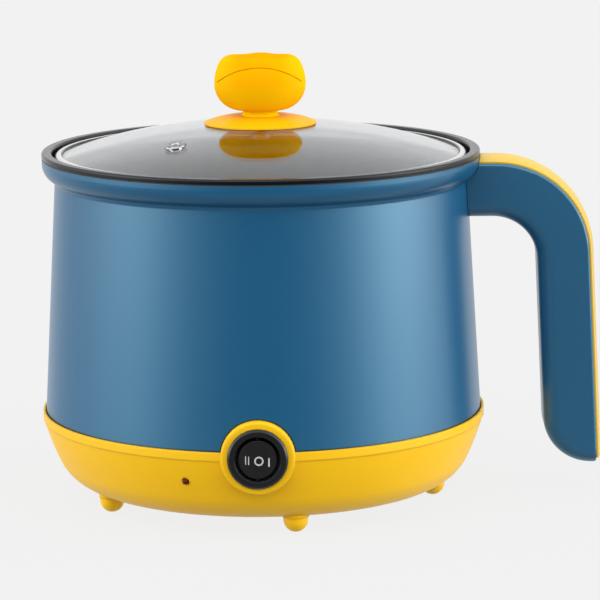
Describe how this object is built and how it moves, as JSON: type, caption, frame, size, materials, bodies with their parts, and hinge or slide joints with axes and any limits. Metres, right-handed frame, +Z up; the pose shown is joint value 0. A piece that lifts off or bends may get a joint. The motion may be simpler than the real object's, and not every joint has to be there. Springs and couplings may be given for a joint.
{
  "type": "electric cooking pot",
  "caption": "Small electric cooking pot with a lift-off domed glass lid, a side handle, a bowl-shaped base on feet and a round rocker switch in front.",
  "frame": {"origin": "on the pot's axis, in the plane that the feet stand on", "axes": "+Z up along the pot's axis, +X towards the handle, -Y towards the switch"},
  "size_m": [0.2526, 0.2027, 0.1988],
  "materials": {
    "blue_plastic": "satin",
    "yellow_plastic": "satin",
    "nonstick": "dark non-stick coating",
    "glass": "clear",
    "steel": "bright",
    "cast_aluminium": "as cast",
    "silicone": "matt",
    "black_plastic": "satin",
    "phenolic": "matt",
    "brass": "plain",
    "red_lens": "clear red",
    "lamp_glass": "clear",
    "wire_brown": "sleeve",
    "wire_blue": "sleeve",
    "wire_green": "sleeve",
    "wire_white": "sleeve"
  },
  "bodies": {
    "pot": {"outer_shell": "blue_plastic", "handle_body": "blue_plastic", "base_cover": "yellow_plastic", "handle_cover": "yellow_plastic", "foot_1": "yellow_plastic", "foot_2": "yellow_plastic", "foot_3": "yellow_plastic", "foot_4": "yellow_plastic", "foot_5": "yellow_plastic", "inner_pot": "nonstick", "base_screws": "steel", "handle_bracket": "steel", "handle_screws": "steel", "thermostat_bracket": "steel", "thermostat_screws": "steel", "fuse_clip": "steel", "fuse_clip_screw": "steel", "heat_shield": "steel", "heater_posts": "steel", "heating_element": "steel", "heater_plate": "cast_aluminium", "rim_gasket": "silicone", "switch_housing": "black_plastic", "inlet_socket": "black_plastic", "low_heat_diode": "black_plastic", "thermal_fuse": "black_plastic", "thermostat": "phenolic", "switch_blades": "brass", "inlet_pins": "brass", "indicator_lens": "red_lens", "indicator_lamp": "lamp_glass", "wire_live": "wire_brown", "wire_high_heat": "wire_brown", "wire_neutral": "wire_blue", "wire_thermostat": "wire_blue", "wire_fuse": "wire_blue", "wire_earth": "wire_green", "lamp_leads": "wire_white"},
    "lid": {"lid_glass": "glass", "lid_ring": "steel", "steam_vent": "steel", "knob": "yellow_plastic", "knob_skirt": "yellow_plastic", "knob_gasket": "silicone", "knob_washer": "steel", "knob_screw": "steel"},
    "rocker": {"switch_rocker": "black_plastic", "switch_plunger": "black_plastic"},
    "lever": {"contact_lever": "brass"}
  },
  "joints": [
    {"name": "lid_lift", "type": "slide", "parent": "pot", "child": "lid", "axis": [0, 0, 1], "range_m": [0, 0.16]},
    {"name": "switch_rock", "type": "hinge", "parent": "pot", "child": "rocker", "pos_m": [0, -0.0984, 0.0379], "axis": [0, 0, 1], "range_deg": [-10, 10]},
    {"name": "contact_tilt", "type": "hinge", "parent": "pot", "child": "lever", "pos_m": [0, -0.093, 0.0379], "axis": [0, 0, 1], "range_deg": [-5, 5]}
  ],
  "couplings": [
    {"joint": "contact_tilt", "follows": "switch_rock", "ratio": -0.5}
  ]
}
